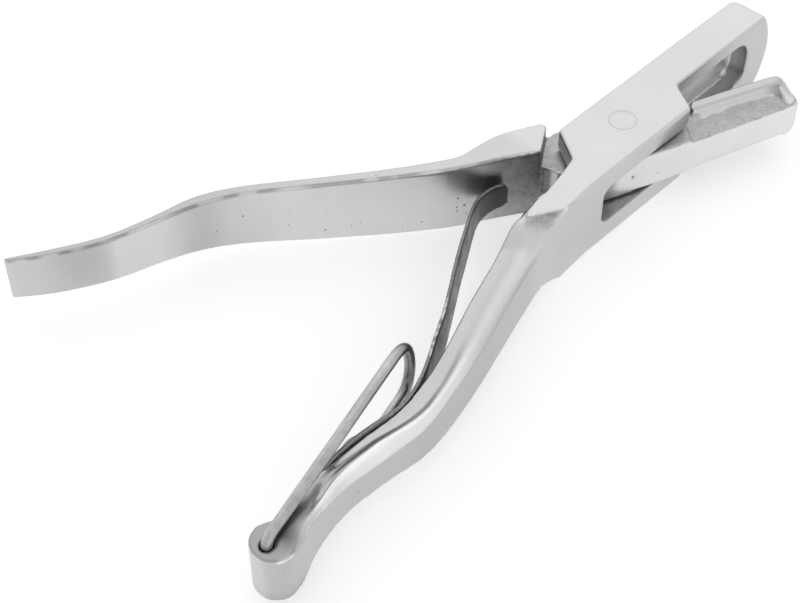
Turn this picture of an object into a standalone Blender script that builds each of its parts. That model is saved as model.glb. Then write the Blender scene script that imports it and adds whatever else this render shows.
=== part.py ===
"""Ear tag applicator: a box-jointed pair of steel pliers for closing ear tags.

Metres, +Z up. The tool lies on its side. The origin is on the pivot's axis at the underside of the box,
+X points along the pocketed jaw towards its tip, and +Y points towards the sprung handle.
The jaws stand open, as the leaf spring holds them.
"""
import bpy
import bmesh
from math import acos, atan2, cos, pi, radians, sin, sqrt, tan
from mathutils import Matrix, Vector

# The box is the thick head of the box lever. Everything is symmetrical about its middle height.
BOX_HEIGHT = 0.0284
MID = BOX_HEIGHT / 2
CLEARANCE = 0.0003

# The pocketed jaw, measured from the pivot
JAW_BACK = 0.0109
JAW_FACE = -0.0018
JAW_TIP = 0.0728
JAW_TIP_BULGE = 0.0047
JAW_TIP_CORNER = 0.0028

# The box round the pivot, seen from above
BOX_SIDE = -0.0111
BOX_SIDE_END = -0.0270
CHEEK_FOOT = 0.0184
CHEEK_TOP = 0.0237
CHEEK_CORNER = 0.0010
NOTCH_TOP = (-0.0162, 0.0104)
NOTCH_FOOT = (-0.0225, 0.0003)
NOTCH_CORNER = 0.0018
NOTCH_SHOULDER = (-0.0291, -0.0014)
HANDLE_SHOULDER = (-0.0483, -0.0050)
HEAD_TAIL = ((-0.0520, -0.0080), (-0.0500, -0.0130))
EDGE_ROUND = 0.0007
HEAD_LEVELS = 5

# The step where the box falls to the handle, on a slanting line
STEP_OUTER = (-0.0386, -0.0121)
STEP_ANGLE = radians(150)
STEP_RADIUS = 0.0110
STEP_FALL = 0.0046
STEP_LENGTH = 0.0300

# The slot through the box, in which the inner lever turns
TONGUE_THICKNESS = 0.0128
SLOT_HEIGHT = TONGUE_THICKNESS + 0.0012
SLOT_END = -0.0205
SLOT_CORNER = 0.0033
SLOT_CORNER_STEPS = 5
SLOT_WALL = ((-0.0248, -0.0055), (-0.0275, -0.0015))
SLOT_RAMP = ((0.0030, 0.0104), (0.0120, 0.0073))

# The inner lever's jaw, drawn along its own axis and then opened about the pivot
JAW_OPEN_ANGLE = radians(21.7)
TONGUE_DISC_RADIUS = 0.0210
TONGUE_DISC_ARC = (radians(-47.7), radians(-8.2))
TONGUE_FAR_EDGE = ((-0.0093, 0.0154), (-0.0190, 0.0185))
TONGUE_NEAR_EDGE = (
    (-0.0262, 0.0110), (-0.0245, 0.0089), (-0.0236, 0.0062), (-0.0234, 0.0041),
    (-0.0215, -0.0002), (-0.0165, -0.0040), (-0.0090, -0.0073),
)
WEB_THICKNESS = 0.0110
WEB_EDGE_START = (0.0080, -0.0098)
WEB_EDGE_AT_TIP = -0.0078
WEB_TIP = 0.0588
WEB_TIP_CORNER = 0.0026
WEB_ROOT = (0.0120, 0.0060)
PAD_WIDTH = 0.0172
PAD_START = 0.0246
PAD_TIP = 0.0598
PAD_TIP_CORNER = 0.0055
PAD_BACK = 0.0001
PAD_FACE = 0.0041
GUSSET_LENGTH = 0.0050
GUSSET_CORNER = 0.0015
GUSSET_LEVELS = 9

# The pocket in the jaw that takes the other jaw's pad
POCKET_WIDTH = PAD_WIDTH + 0.0008
POCKET_DEPTH = 0.0065
POCKET_END = 0.0619
POCKET_CORNER = 0.0075
POCKET_RUN_OUT = (0.0145, 0.0200)

# The pivot pin, flush with both sides of the box
PIN_DIAMETER = 0.0082

# The box lever's handle: centre line (x, y), width, half height at the creases, crown above them
HANDLE_A = (
    (-0.0400, -0.0070, 0.0090, 0.0086, 0.0010),
    (-0.0536, -0.0093, 0.0104, 0.0085, 0.0012),
    (-0.0640, -0.0126, 0.0099, 0.0084, 0.0012),
    (-0.0781, -0.0172, 0.0098, 0.0079, 0.0013),
    (-0.0920, -0.0221, 0.0092, 0.0073, 0.0014),
    (-0.1066, -0.0264, 0.0084, 0.0068, 0.0015),
    (-0.1181, -0.0283, 0.0087, 0.0058, 0.0018),
    (-0.1297, -0.0274, 0.0089, 0.0050, 0.0020),
    (-0.1421, -0.0271, 0.0079, 0.0052, 0.0016),
    (-0.1510, -0.0286, 0.0062, 0.0060, 0.0010),
    (-0.1594, -0.0300, 0.0070, 0.0078, 0.0004),
    (-0.1655, -0.0311, 0.0102, 0.0085, 0.0000),
    (-0.1693, -0.0311, 0.0126, 0.0085, 0.0000),
)
HANDLE_A_STEPS = 4
ARCH_POINTS = 7
END_STEPS = 6
END_TURN = radians(80)

# The locking bail: a wire loop hinged in the end of the box lever's handle
WIRE_DIAMETER = 0.0031
BAIL_PIVOT = (-0.1715, -0.0307)
BAIL_REACH = 0.0737
BAIL_DIRECTION = radians(16.0)
BAIL_BEND = 0.0020
BAIL_CORNER = 0.0100
BAIL_STUB = 0.0010
WIRE_RING_STEPS = 2

# The inner lever's handle: outer edge (x, y), inner edge (x, y) and half height, from its end to its root
HANDLE_B = (
    (-0.1567, 0.0917, -0.1576, 0.0899, 0.0077),
    (-0.1463, 0.0854, -0.1480, 0.0829, 0.0080),
    (-0.1322, 0.0779, -0.1335, 0.0753, 0.0083),
    (-0.1176, 0.0737, -0.1182, 0.0707, 0.0088),
    (-0.1050, 0.0704, -0.1067, 0.0667, 0.0096),
    (-0.0930, 0.0632, -0.0954, 0.0601, 0.0104),
    (-0.0778, 0.0507, -0.0802, 0.0477, 0.0112),
    (-0.0617, 0.0382, -0.0641, 0.0348, 0.0118),
    (-0.0500, 0.0300, -0.0523, 0.0259, 0.0121),
    (-0.0430, 0.0258, -0.0458, 0.0217, 0.0123),
    (-0.0375, 0.0250, -0.0407, 0.0187, 0.0123),
    (-0.0290, 0.0238, -0.0350, 0.0155, 0.0124),
    (-0.0215, 0.0206, -0.0295, 0.0122, 0.0125),
    (-0.0142, 0.0166, -0.0253, 0.0095, 0.0125),
)
HANDLE_B_STEPS = 3
HANDLE_B_ROUND = 0.0007

# The leaf spring: a steel strip riveted inside the box lever's handle, curled against the inner lever.
# Its reach gives the centre line (x, y) and half the strip's width.
SPRING_THICKNESS = 0.0013
SPRING_ROOT_WIDTH = 0.0130
SPRING_SEAT = (8.25, 5.5)
SPRING_REACH = (
    (-0.1055, -0.0199, 0.0073),
    (-0.0950, -0.0143, 0.0081),
    (-0.0870, -0.0100, 0.0084),
    (-0.0791, -0.0050, 0.0085),
    (-0.0685, 0.0019, 0.0083),
    (-0.0584, 0.0082, 0.0075),
    (-0.0520, 0.0121, 0.0065),
    (-0.0470, 0.0146, 0.0056),
    (-0.0425, 0.0155, 0.0052),
    (-0.0385, 0.0152, 0.0050),
    (-0.0353, 0.0138, 0.0048),
)
SPRING_STEPS = 4

# The rivet that holds the spring
RIVET_STATION = 7.25
RIVET_DIAMETER = 0.0040
RIVET_HEAD_DIAMETER = 0.0080
RIVET_HEAD_HEIGHT = 0.0022
RIVET_DEPTH = 0.0055
ROUND_SEGMENTS = 32

ARC_STEP = radians(15)
CUT = 0.0020
WELD = 0.00001

# Each finish: base colour and roughness
CAST_STEEL = ((0.75, 0.76, 0.77), 0.35)
BRIGHT_WIRE = ((0.80, 0.81, 0.82), 0.22)
SPRING_STEEL = ((0.22, 0.22, 0.23), 0.40)


def collection(name):
    """A new collection in the scene."""
    made = bpy.data.collections.new(name)
    bpy.context.scene.collection.children.link(made)
    return made


def metal(name, colour, roughness):
    """A plain metal finish."""
    material = bpy.data.materials.new(name)
    material.use_nodes = True
    shader = material.node_tree.nodes["Principled BSDF"]
    shader.inputs["Base Color"].default_value = (*colour, 1)
    shader.inputs["Metallic"].default_value = 1.0
    shader.inputs["Roughness"].default_value = roughness
    return material


def put(name, mesh, home, material=None):
    """An object of this mesh in one collection, with one finish."""
    piece = bpy.data.objects.new(name, mesh)
    home.objects.link(piece)
    if material:
        mesh.materials.clear()
        mesh.materials.append(material)
    return piece


def combine(piece, tool, operation):
    """A live Boolean of the piece with a tool, which is shown as wire and left out of renders."""
    tool.hide_render = True
    tool.display_type = "WIRE"
    step = piece.modifiers.new(tool.name, "BOOLEAN")
    step.operation = operation
    step.object = tool
    step.solver = "EXACT"


def arc(centre, radius, start, end):
    """Points along an arc, both ends included."""
    count = max(2, round(abs(end - start) / ARC_STEP) + 1)
    turns = [start + (end - start) * i / (count - 1) for i in range(count)]
    return [(centre[0] + radius * cos(turn), centre[1] + radius * sin(turn)) for turn in turns]


def rounded(corners):
    """An outline from corners (x, y) or (x, y, radius), where a radius rounds the corner by an arc."""
    outline = []
    for i, corner in enumerate(corners):
        here = Vector(corner[:2])
        if len(corner) == 2:
            outline.append(corner)
            continue
        before = (Vector(corners[i - 1][:2]) - here).normalized()
        after = (Vector(corners[(i + 1) % len(corners)][:2]) - here).normalized()
        half = acos(before.dot(after)) / 2
        centre = here + (before + after).normalized() * corner[2] / sin(half)
        first = here + before * corner[2] / tan(half) - centre
        last = here + after * corner[2] / tan(half) - centre
        start = atan2(first.y, first.x)
        turn = (atan2(last.y, last.x) - start + pi) % (2 * pi) - pi
        outline += arc(centre, corner[2], start, start + turn)
    return outline


def plate_mesh(name, outline, low, high):
    """A flat outline, filled and extruded from low to high."""
    curve = bpy.data.curves.new(name, "CURVE")
    curve.dimensions = "2D"
    curve.fill_mode = "BOTH"
    curve.extrude = (high - low) / 2
    spline = curve.splines.new("POLY")
    spline.points.add(len(outline) - 1)
    spline.use_cyclic_u = True
    for point, (x, y) in zip(spline.points, outline):
        point.co = (x, y, 0, 1)
    return curve_mesh(name, curve, Matrix.Translation((0, 0, (low + high) / 2)))


def curve_mesh(name, curve, place=Matrix.Identity(4)):
    """A curve's surface as a welded mesh."""
    drawn = bpy.data.objects.new(name, curve)
    bpy.context.scene.collection.objects.link(drawn)
    mesh = bpy.data.meshes.new_from_object(drawn.evaluated_get(bpy.context.evaluated_depsgraph_get()))
    bpy.data.objects.remove(drawn)
    bpy.data.curves.remove(curve)
    form = bmesh.new()
    form.from_mesh(mesh)
    bmesh.ops.remove_doubles(form, verts=form.verts, dist=WELD / 2)
    form.to_mesh(mesh)
    form.free()
    mesh.transform(place)
    return mesh


def loft_mesh(name, rings):
    """A closed form through rings of equally many points, with a flat face at each end."""
    form = bmesh.new()
    rows = [[form.verts.new(point) for point in ring] for ring in rings]
    for low, high in zip(rows, rows[1:]):
        for i in range(len(low)):
            j = (i + 1) % len(low)
            form.faces.new((low[i], low[j], high[j], high[i]))
    form.faces.new(rows[0][::-1])
    form.faces.new(rows[-1])
    bmesh.ops.recalc_face_normals(form, faces=form.faces)
    mesh = bpy.data.meshes.new(name)
    form.to_mesh(mesh)
    form.free()
    return mesh


def smooth(rows, steps):
    """Rows of numbers, with steps between each two, on a curve through them all."""
    rows = [Vector(row) for row in rows]
    out = []
    for i in range(len(rows) - 1):
        here, after = rows[i], rows[i + 1]
        before = rows[i - 1] if i else here * 2 - after
        beyond = rows[i + 2] if i + 2 < len(rows) else after * 2 - here
        for k in range(steps):
            t = k / steps
            out.append(here + (after - before) * (t / 2)
                       + (before * 2 - here * 5 + after * 4 - beyond) * (t * t / 2)
                       + (here * 3 - before - after * 3 + beyond) * (t * t * t / 2))
    out.append(rows[-1])
    return out


def left_of(path):
    """At each point of a flat path, the unit vector to the left of its run."""
    out = []
    for i in range(len(path)):
        run = path[min(i + 1, len(path) - 1)] - path[max(i - 1, 0)]
        out.append(Vector((-run[1], run[0])).normalized())
    return out


def opened(along, across):
    """A point given along and across the inner lever's jaw, opened about the pivot."""
    return (along * cos(JAW_OPEN_ANGLE) + across * sin(JAW_OPEN_ANGLE),
            across * cos(JAW_OPEN_ANGLE) - along * sin(JAW_OPEN_ANGLE))


def round_bar(name, radius, low, high, place, home):
    """A round bar along Z, used as the pin and as the cutters of the holes."""
    form = bmesh.new()
    bmesh.ops.create_cone(form, cap_ends=True, segments=ROUND_SEGMENTS,
                          radius1=radius, radius2=radius, depth=high - low)
    bmesh.ops.translate(form, verts=form.verts, vec=(place[0], place[1], (low + high) / 2))
    mesh = bpy.data.meshes.new(name)
    form.to_mesh(mesh)
    form.free()
    return put(name, mesh, home)


def inset(outline, distance):
    """The outline moved inwards by a small distance; the outline runs anticlockwise."""
    out = []
    for i, here in enumerate(outline):
        here = Vector(here)
        run_in = (here - Vector(outline[i - 1])).normalized()
        run_out = (Vector(outline[(i + 1) % len(outline)]) - here).normalized()
        inwards = Vector((-run_in.y - run_out.y, run_in.x + run_out.x)).normalized()
        out.append(here + inwards * distance)
    return out


def head_outline(tip):
    """The box and the pocketed jaw seen from above, anticlockwise, with the jaw ending at tip."""
    return rounded([
        (tip, JAW_FACE), (tip, JAW_BACK, JAW_TIP_CORNER),
        (NOTCH_TOP[0], JAW_BACK), NOTCH_TOP, (*NOTCH_FOOT, NOTCH_CORNER), NOTCH_SHOULDER,
        HANDLE_SHOULDER, *HEAD_TAIL, STEP_OUTER, (BOX_SIDE_END, BOX_SIDE),
        (CHEEK_FOOT, BOX_SIDE, CHEEK_CORNER), (CHEEK_TOP, JAW_FACE, CHEEK_CORNER),
    ])


def head_form(home, material):
    """The box with its jaw: level outlines whose rims are rounded and whose tip bulges at mid height."""
    bulge_radius = (MID * MID + JAW_TIP_BULGE * JAW_TIP_BULGE) / (2 * JAW_TIP_BULGE)
    rim = [(0, EDGE_ROUND), (EDGE_ROUND * (1 - cos(pi / 4)), EDGE_ROUND * (1 - sin(pi / 4))), (EDGE_ROUND, 0)]
    body = [(MID * 2 * i / (HEAD_LEVELS + 1), 0) for i in range(1, HEAD_LEVELS + 1)]
    rings = []
    for height, shrink in rim + body + [(BOX_HEIGHT - z, s) for z, s in rim[::-1]]:
        tip = JAW_TIP - bulge_radius + sqrt(bulge_radius ** 2 - (height - MID) ** 2)
        rings.append([(x, y, height) for x, y in inset(head_outline(tip), shrink)])
    return put("box_lever", loft_mesh("box_lever", rings), home, material)


def step_cutter(side, home):
    """The cutter that lowers the box to the handle in a hollow curve, above (1) or below (-1)."""
    hollow = sqrt(STEP_RADIUS ** 2 - (STEP_RADIUS - STEP_FALL) ** 2)
    floor = MID - STEP_FALL
    outline = [(0, MID + CUT)]
    steepest = atan2(STEP_FALL - STEP_RADIUS, -hollow)
    outline += arc((hollow, floor + STEP_RADIUS), STEP_RADIUS, steepest, -pi / 2)
    outline += [(STEP_LENGTH / 2, floor), (STEP_LENGTH / 2, MID + CUT)]
    outline = [(along, MID + side * height) for along, height in outline]
    mesh = plate_mesh("step_cutter", outline, -STEP_LENGTH / 2, STEP_LENGTH / 2)
    mesh.transform(Matrix.Translation((*STEP_OUTER, 0)) @ Matrix.Rotation(STEP_ANGLE + pi / 2, 4, "Z")
                   @ Matrix.Rotation(pi / 2, 4, "X"))
    return put("step_cutter", mesh, home)


def handle_a_rows():
    """The box lever's handle from the box to its rounded end, row by row."""
    rows = smooth(HANDLE_A, HANDLE_A_STEPS)
    last = rows[-1]
    run = Vector((last - rows[-2])[:2]).normalized()
    for i in range(1, END_STEPS + 1):
        turn = END_TURN * i / END_STEPS
        place = Vector(last[:2]) + run * (last[2] / 2) * sin(turn)
        rows.append(Vector((*place, last[2] * cos(turn), last[3], last[4])))
    return rows


def handle_a_form(home):
    """The handle: flat sides between two creases, and an arched top and underside."""
    rows = handle_a_rows()
    rings = []
    for row, left in zip(rows, left_of(rows)):
        x, y, width, crease, crown = row
        arch = [cos(pi * i / (ARCH_POINTS - 1)) for i in range(ARCH_POINTS)]
        top = [(share * width / 2, crease + crown * (1 - share * share)) for share in arch]
        ring = top + [(across, -height) for across, height in top[::-1]]
        rings.append([(x + left.x * across, y + left.y * across, MID + height) for across, height in ring])
    return put("handle_a_form", loft_mesh("handle_a_form", rings), home)


def slot_cutter(home):
    """The slot through the box, with rounded corners at the end that shows in the box's side."""
    floor = JAW_FACE + POCKET_DEPTH
    outline = [
        (SLOT_END, BOX_SIDE - CUT), (PAD_START + CUT, BOX_SIDE - CUT), (PAD_START + CUT, floor),
        (PAD_START - CUT, floor), SLOT_RAMP[1], SLOT_RAMP[0], (SLOT_RAMP[0][0], JAW_BACK + CUT),
        (SLOT_WALL[1][0], JAW_BACK + CUT), SLOT_WALL[1], SLOT_WALL[0], (SLOT_END, BOX_SIDE + CUT / 2),
    ]
    mesh = plate_mesh("slot_cutter", outline, MID - SLOT_HEIGHT / 2, MID + SLOT_HEIGHT / 2)
    form = bmesh.new()
    form.from_mesh(mesh)
    rims = [edge for edge in form.edges if is_slot_end_rim(edge)]
    bmesh.ops.bevel(form, geom=rims, offset=SLOT_CORNER, segments=SLOT_CORNER_STEPS,
                    profile=0.5, affect="EDGES")
    form.to_mesh(mesh)
    form.free()
    return put("slot_cutter", mesh, home)


def is_slot_end_rim(edge):
    """Whether an edge of the slot's cutter is level and lies on the slot's end wall."""
    first, last = (vert.co for vert in edge.verts)
    level = abs(first.z - last.z) < CLEARANCE
    return level and max(first.x, last.x) < SLOT_END + CLEARANCE and min(first.y, last.y) < -CLEARANCE


def pocket_cutter(home):
    """The round-ended pocket in the jaw's face; it runs out through both cheeks."""
    half, slot_half = POCKET_WIDTH / 2, SLOT_HEIGHT / 2
    outline = rounded([
        (POCKET_RUN_OUT[0], MID - slot_half), (POCKET_RUN_OUT[1], MID - half),
        (POCKET_END, MID - half, POCKET_CORNER), (POCKET_END, MID + half, POCKET_CORNER),
        (POCKET_RUN_OUT[1], MID + half), (POCKET_RUN_OUT[0], MID + slot_half),
    ])
    mesh = plate_mesh("pocket_cutter", outline, -JAW_FACE - POCKET_DEPTH, CUT - BOX_SIDE)
    mesh.transform(Matrix.Rotation(pi / 2, 4, "X"))
    return put("pocket_cutter", mesh, home)


def rivet_place():
    """The rivet's seat on the handle's inner face, and the direction in which its head stands out."""
    rows = handle_a_rows()
    index = round(RIVET_STATION * HANDLE_A_STEPS)
    inwards = -left_of(rows)[index]
    return Vector(rows[index][:2]) + inwards * rows[index][2] / 2, inwards


def rivet_hole(home):
    """The cutter of the rivet's hole, through the spring and into the handle."""
    seat, inwards = rivet_place()
    reach = RIVET_DEPTH + CLEARANCE
    bar = round_bar("rivet_hole", RIVET_DIAMETER / 2 + CLEARANCE, -reach, reach, (0, 0), home)
    turn = inwards.to_3d().to_track_quat("Z", "Y").to_matrix().to_4x4()
    bar.data.transform(Matrix.Translation((*seat, MID)) @ turn)
    return bar


def box_lever(home, tools, material):
    """The lever with the box: slotted head, pocketed jaw and handle in one forging."""
    lever = head_form(home, material)
    for side in (1, -1):
        combine(lever, step_cutter(side, tools), "DIFFERENCE")
    combine(lever, handle_a_form(tools), "UNION")
    combine(lever, slot_cutter(tools), "DIFFERENCE")
    combine(lever, pocket_cutter(tools), "DIFFERENCE")
    bore = round_bar("pivot_bore", PIN_DIAMETER / 2 + CLEARANCE, -CUT, BOX_HEIGHT + CUT, (0, 0), tools)
    combine(lever, bore, "DIFFERENCE")
    hole = round_bar("bail_hole", WIRE_DIAMETER / 2 + CLEARANCE, -CUT, BOX_HEIGHT + CUT, BAIL_PIVOT, tools)
    combine(lever, hole, "DIFFERENCE")
    combine(lever, rivet_hole(tools), "DIFFERENCE")
    return lever


def handle_b_form(home, material):
    """The inner lever's handle: a tall strap that thickens into a blunt block at the box."""
    rings = []
    for outer_x, outer_y, inner_x, inner_y, half in smooth(HANDLE_B, HANDLE_B_STEPS):
        outer, inner = Vector((outer_x, outer_y)), Vector((inner_x, inner_y))
        edge = (inner - outer).normalized() * HANDLE_B_ROUND
        side = [(outer, half - HANDLE_B_ROUND), (outer + edge, half),
                (inner - edge, half), (inner, half - HANDLE_B_ROUND)]
        side += [(place, -height) for place, height in side[::-1]]
        rings.append([(place.x, place.y, MID + height) for place, height in side])
    return put("inner_lever", loft_mesh("inner_lever", rings), home, material)


def tongue_form(home):
    """The tongue that fills the box's slot: a disc's arc towards the jaw, and a root in the handle."""
    outline = arc((0, 0), TONGUE_DISC_RADIUS, *TONGUE_DISC_ARC)
    outline += [*TONGUE_FAR_EDGE, *TONGUE_NEAR_EDGE]
    half = TONGUE_THICKNESS / 2
    return put("tongue_form", plate_mesh("tongue_form", outline, MID - half, MID + half), home)


def web_form(home):
    """The flat web behind the jaw's pad."""
    end = WEB_TIP - GUSSET_LENGTH / 2
    corners = [
        WEB_EDGE_START, (end, WEB_EDGE_AT_TIP + CLEARANCE),
        (end, PAD_FACE - CLEARANCE), (PAD_START, PAD_FACE - CLEARANCE), WEB_ROOT,
    ]
    outline = [opened(along, across) for along, across in corners]
    half = WEB_THICKNESS / 2
    return put("web_form", plate_mesh("web_form", outline, MID - half, MID + half), home)


def pad_form(home):
    """The wide clamping pad of the inner lever's jaw, round at its end corners."""
    half = PAD_WIDTH / 2
    outline = rounded([
        (PAD_START, MID - half), (PAD_TIP, MID - half, PAD_TIP_CORNER),
        (PAD_TIP, MID + half, PAD_TIP_CORNER), (PAD_START, MID + half),
    ])
    mesh = plate_mesh("pad_form", outline, -PAD_FACE, -PAD_BACK)
    mesh.transform(Matrix.Rotation(-JAW_OPEN_ANGLE, 4, "Z") @ Matrix.Rotation(pi / 2, 4, "X"))
    return put("pad_form", mesh, home)


def gusset_form(home):
    """The end wall that tapers from the pad's round end down to the web's edge."""
    rings = []
    start = WEB_TIP - GUSSET_LENGTH
    for i in range(GUSSET_LEVELS):
        share = i / (GUSSET_LEVELS - 1)
        half = (PAD_WIDTH / 2 - CLEARANCE) * (1 - share) + (WEB_THICKNESS / 2 + CLEARANCE) * share
        across = (PAD_BACK + PAD_FACE) / 2 * (1 - share) + WEB_EDGE_AT_TIP * share
        into_corner = max(0, WEB_TIP_CORNER - (across - WEB_EDGE_AT_TIP))
        tip = PAD_TIP * (1 - share) + WEB_TIP * share - CLEARANCE
        tip -= WEB_TIP_CORNER - sqrt(WEB_TIP_CORNER ** 2 - into_corner ** 2)
        corner = PAD_TIP_CORNER * (1 - share) + GUSSET_CORNER * share
        ring = rounded([(start, -half), (tip, -half, corner), (tip, half, corner), (start, half)])
        rings.append([(*opened(along, across), MID + height) for along, height in ring])
    return put("gusset_form", loft_mesh("gusset_form", rings), home)


def inner_lever(home, tools, material):
    """The lever whose tongue runs through the box: handle, tongue and padded jaw in one forging."""
    lever = handle_b_form(home, material)
    for form in (tongue_form, web_form, pad_form, gusset_form):
        combine(lever, form(tools), "UNION")
    bore = round_bar("tongue_bore", PIN_DIAMETER / 2 + CLEARANCE, -CUT, BOX_HEIGHT + CUT, (0, 0), tools)
    combine(lever, bore, "DIFFERENCE")
    return lever


def pivot_pin(home, material):
    """The pin through the box, flush with both its sides."""
    pin = round_bar("pivot_pin", PIN_DIAMETER / 2, 0, BOX_HEIGHT, (0, 0), home)
    pin.data.materials.append(material)
    return pin


def spring_path():
    """The spring's centre line and half width: along the handle's inner face, then free to its curl."""
    rows = handle_a_rows()
    inwards = [-side for side in left_of(rows)]
    first, last = (round(station * HANDLE_A_STEPS) for station in SPRING_SEAT)
    gap = CLEARANCE + SPRING_THICKNESS / 2
    seat = []
    for i in range(first, last - 1, -1):
        place = Vector(rows[i][:2]) + inwards[i] * (rows[i][2] / 2 + gap)
        seat.append(Vector((*place, SPRING_ROOT_WIDTH / 2)))
    return seat[:-1] + smooth([seat[-1], *SPRING_REACH], SPRING_STEPS)


def leaf_spring(home, tools, material):
    """The strip spring, widest in its straight run and narrow at its curl."""
    path = spring_path()
    half = SPRING_THICKNESS / 2
    rings = []
    for (x, y, height), left in zip(path, left_of(path)):
        sides = [(half, height), (-half, height), (-half, -height), (half, -height)]
        rings.append([(x + left.x * across, y + left.y * across, MID + up) for across, up in sides])
    spring = put("leaf_spring", loft_mesh("leaf_spring", rings), home, material)
    combine(spring, rivet_hole(tools), "DIFFERENCE")
    return spring


def spring_rivet(home, material):
    """The rivet: a turned dome and shank, its axis square to the handle's inner face."""
    seat, inwards = rivet_place()
    head = RIVET_HEAD_DIAMETER / 2
    foot = SPRING_THICKNESS + 2 * CLEARANCE
    dome = [(head * sin(turn), foot + RIVET_HEAD_HEIGHT * cos(turn))
            for turn in (pi / 2 * i / END_STEPS for i in range(END_STEPS + 1))]
    profile = dome + [(RIVET_DIAMETER / 2, foot), (RIVET_DIAMETER / 2, CLEARANCE - RIVET_DEPTH),
                      (0, CLEARANCE - RIVET_DEPTH)]
    mesh = bpy.data.meshes.new("spring_rivet")
    mesh.from_pydata([(x, 0, z) for x, z in profile], [(i, i + 1) for i in range(len(profile) - 1)], [])
    rivet = put("spring_rivet", mesh, home, material)
    turned = rivet.modifiers.new("turned", "SCREW")
    turned.steps = turned.render_steps = ROUND_SEGMENTS // 2
    turned.use_merge_vertices = True
    turned.merge_threshold = WELD
    rivet.rotation_euler = inwards.to_3d().to_track_quat("Z", "Y").to_euler()
    rivet.location = (*seat, MID)
    return rivet


def bail_path():
    """Half of the loop's centre line in its own plane, from inside the hole to the far end."""
    level = HANDLE_A[-1][3] + CLEARANCE + WIRE_DIAMETER / 2
    stub = [(0, BAIL_STUB)]
    bend = arc((BAIL_BEND, level - BAIL_BEND), BAIL_BEND, pi, pi / 2)
    corner = arc((BAIL_REACH - BAIL_CORNER, level - BAIL_CORNER), BAIL_CORNER, pi / 2, 0)
    return stub + bend + corner + [(BAIL_REACH, 0)]


def locking_bail(home, material):
    """The wire loop, whose two ends turn into the handle's hole from above and below."""
    upper = bail_path()
    path = upper + [(along, -height) for along, height in upper[-2::-1]]
    curve = bpy.data.curves.new("locking_bail", "CURVE")
    curve.dimensions = "3D"
    curve.bevel_depth = WIRE_DIAMETER / 2
    curve.bevel_resolution = WIRE_RING_STEPS
    curve.use_fill_caps = True
    spline = curve.splines.new("POLY")
    spline.points.add(len(path) - 1)
    for point, (along, height) in zip(spline.points, path):
        point.co = (along * cos(BAIL_DIRECTION), along * sin(BAIL_DIRECTION), height, 1)
    mesh = curve_mesh("locking_bail", curve)
    bail = put("locking_bail", mesh, home, material)
    bail.location = (*BAIL_PIVOT, MID)
    return bail


def main():
    """Build the applicator from an empty scene."""
    for left_over in list(bpy.data.objects):
        bpy.data.objects.remove(left_over)
    home = collection("ear_tag_applicator")
    tools = collection("cutters_and_forms")
    cast = metal("polished_cast_steel", *CAST_STEEL)
    bright = metal("bright_wire", *BRIGHT_WIRE)
    dark = metal("dark_spring_steel", *SPRING_STEEL)
    box_lever(home, tools, cast)
    inner_lever(home, tools, cast)
    pivot_pin(home, cast)
    leaf_spring(home, tools, dark)
    spring_rivet(home, bright)
    locking_bail(home, bright)


main()
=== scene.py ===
"""The ear tag applicator as it looks: its cast levers, bail, spring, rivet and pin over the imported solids.

Metres, in the part's frame. The pivot's axis is the Z axis, +X points along the pocketed jaw,
+Y towards the sprung handle, and the tool lies on its side on the floor.
"""

import bmesh
import bpy
import numpy as np
from mathutils import Matrix, Vector


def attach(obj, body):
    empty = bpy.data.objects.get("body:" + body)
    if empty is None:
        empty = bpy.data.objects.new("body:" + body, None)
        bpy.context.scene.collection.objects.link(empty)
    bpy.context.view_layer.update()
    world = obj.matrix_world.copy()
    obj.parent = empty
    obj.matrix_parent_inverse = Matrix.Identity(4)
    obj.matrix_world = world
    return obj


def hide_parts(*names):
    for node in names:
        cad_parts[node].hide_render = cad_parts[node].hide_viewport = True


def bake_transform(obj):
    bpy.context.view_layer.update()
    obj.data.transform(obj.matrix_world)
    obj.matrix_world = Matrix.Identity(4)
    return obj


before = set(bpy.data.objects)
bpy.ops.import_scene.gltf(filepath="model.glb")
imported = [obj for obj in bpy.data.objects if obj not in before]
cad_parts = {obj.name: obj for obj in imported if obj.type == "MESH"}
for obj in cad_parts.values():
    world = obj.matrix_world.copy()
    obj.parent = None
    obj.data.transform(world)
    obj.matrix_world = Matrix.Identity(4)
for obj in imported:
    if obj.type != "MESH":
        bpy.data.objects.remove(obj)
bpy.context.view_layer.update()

# The tool's middle and top heights, and how far the padded jaw is turned from the pocketed one
MID = 0.0142
TOP = 2 * MID
JAW_TURN = np.radians(21.7)

# The levers' skins: their cells, the rounds in which they are tumbled and melted, and the easing depth that
# marks an edge as fully worn and a hollow as fully darkened by painted shade
BOX_CELL = 0.00048
INNER_CELL = 0.00043
WELD = 0.000001
EDGE_ROUNDS = 2
SKIN_ROUNDS = 8
STEP_BACK = 0.47
MELT_ROUNDS = 60
WEAR_AND_SHADE_DEPTH = 0.0003

# The photograph's camera
LENS = 78.3
SENSOR = 36.0
CAMERA_AT = (-0.3184, -0.2170, 0.3709)
CAMERA_AIM = (-0.0874, 0.0061, 0.0142)

# The light: what the floor adds for the camera, the sky's level, and the lamps (name, place, size, power)
FLOOR_GLOW = 0.52
SKY_LEVEL = 0.60
SOFT_BOXES = (("soft box behind the tool", (0.45, 0.45, 0.72), 1.2, 1.38),)

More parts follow.
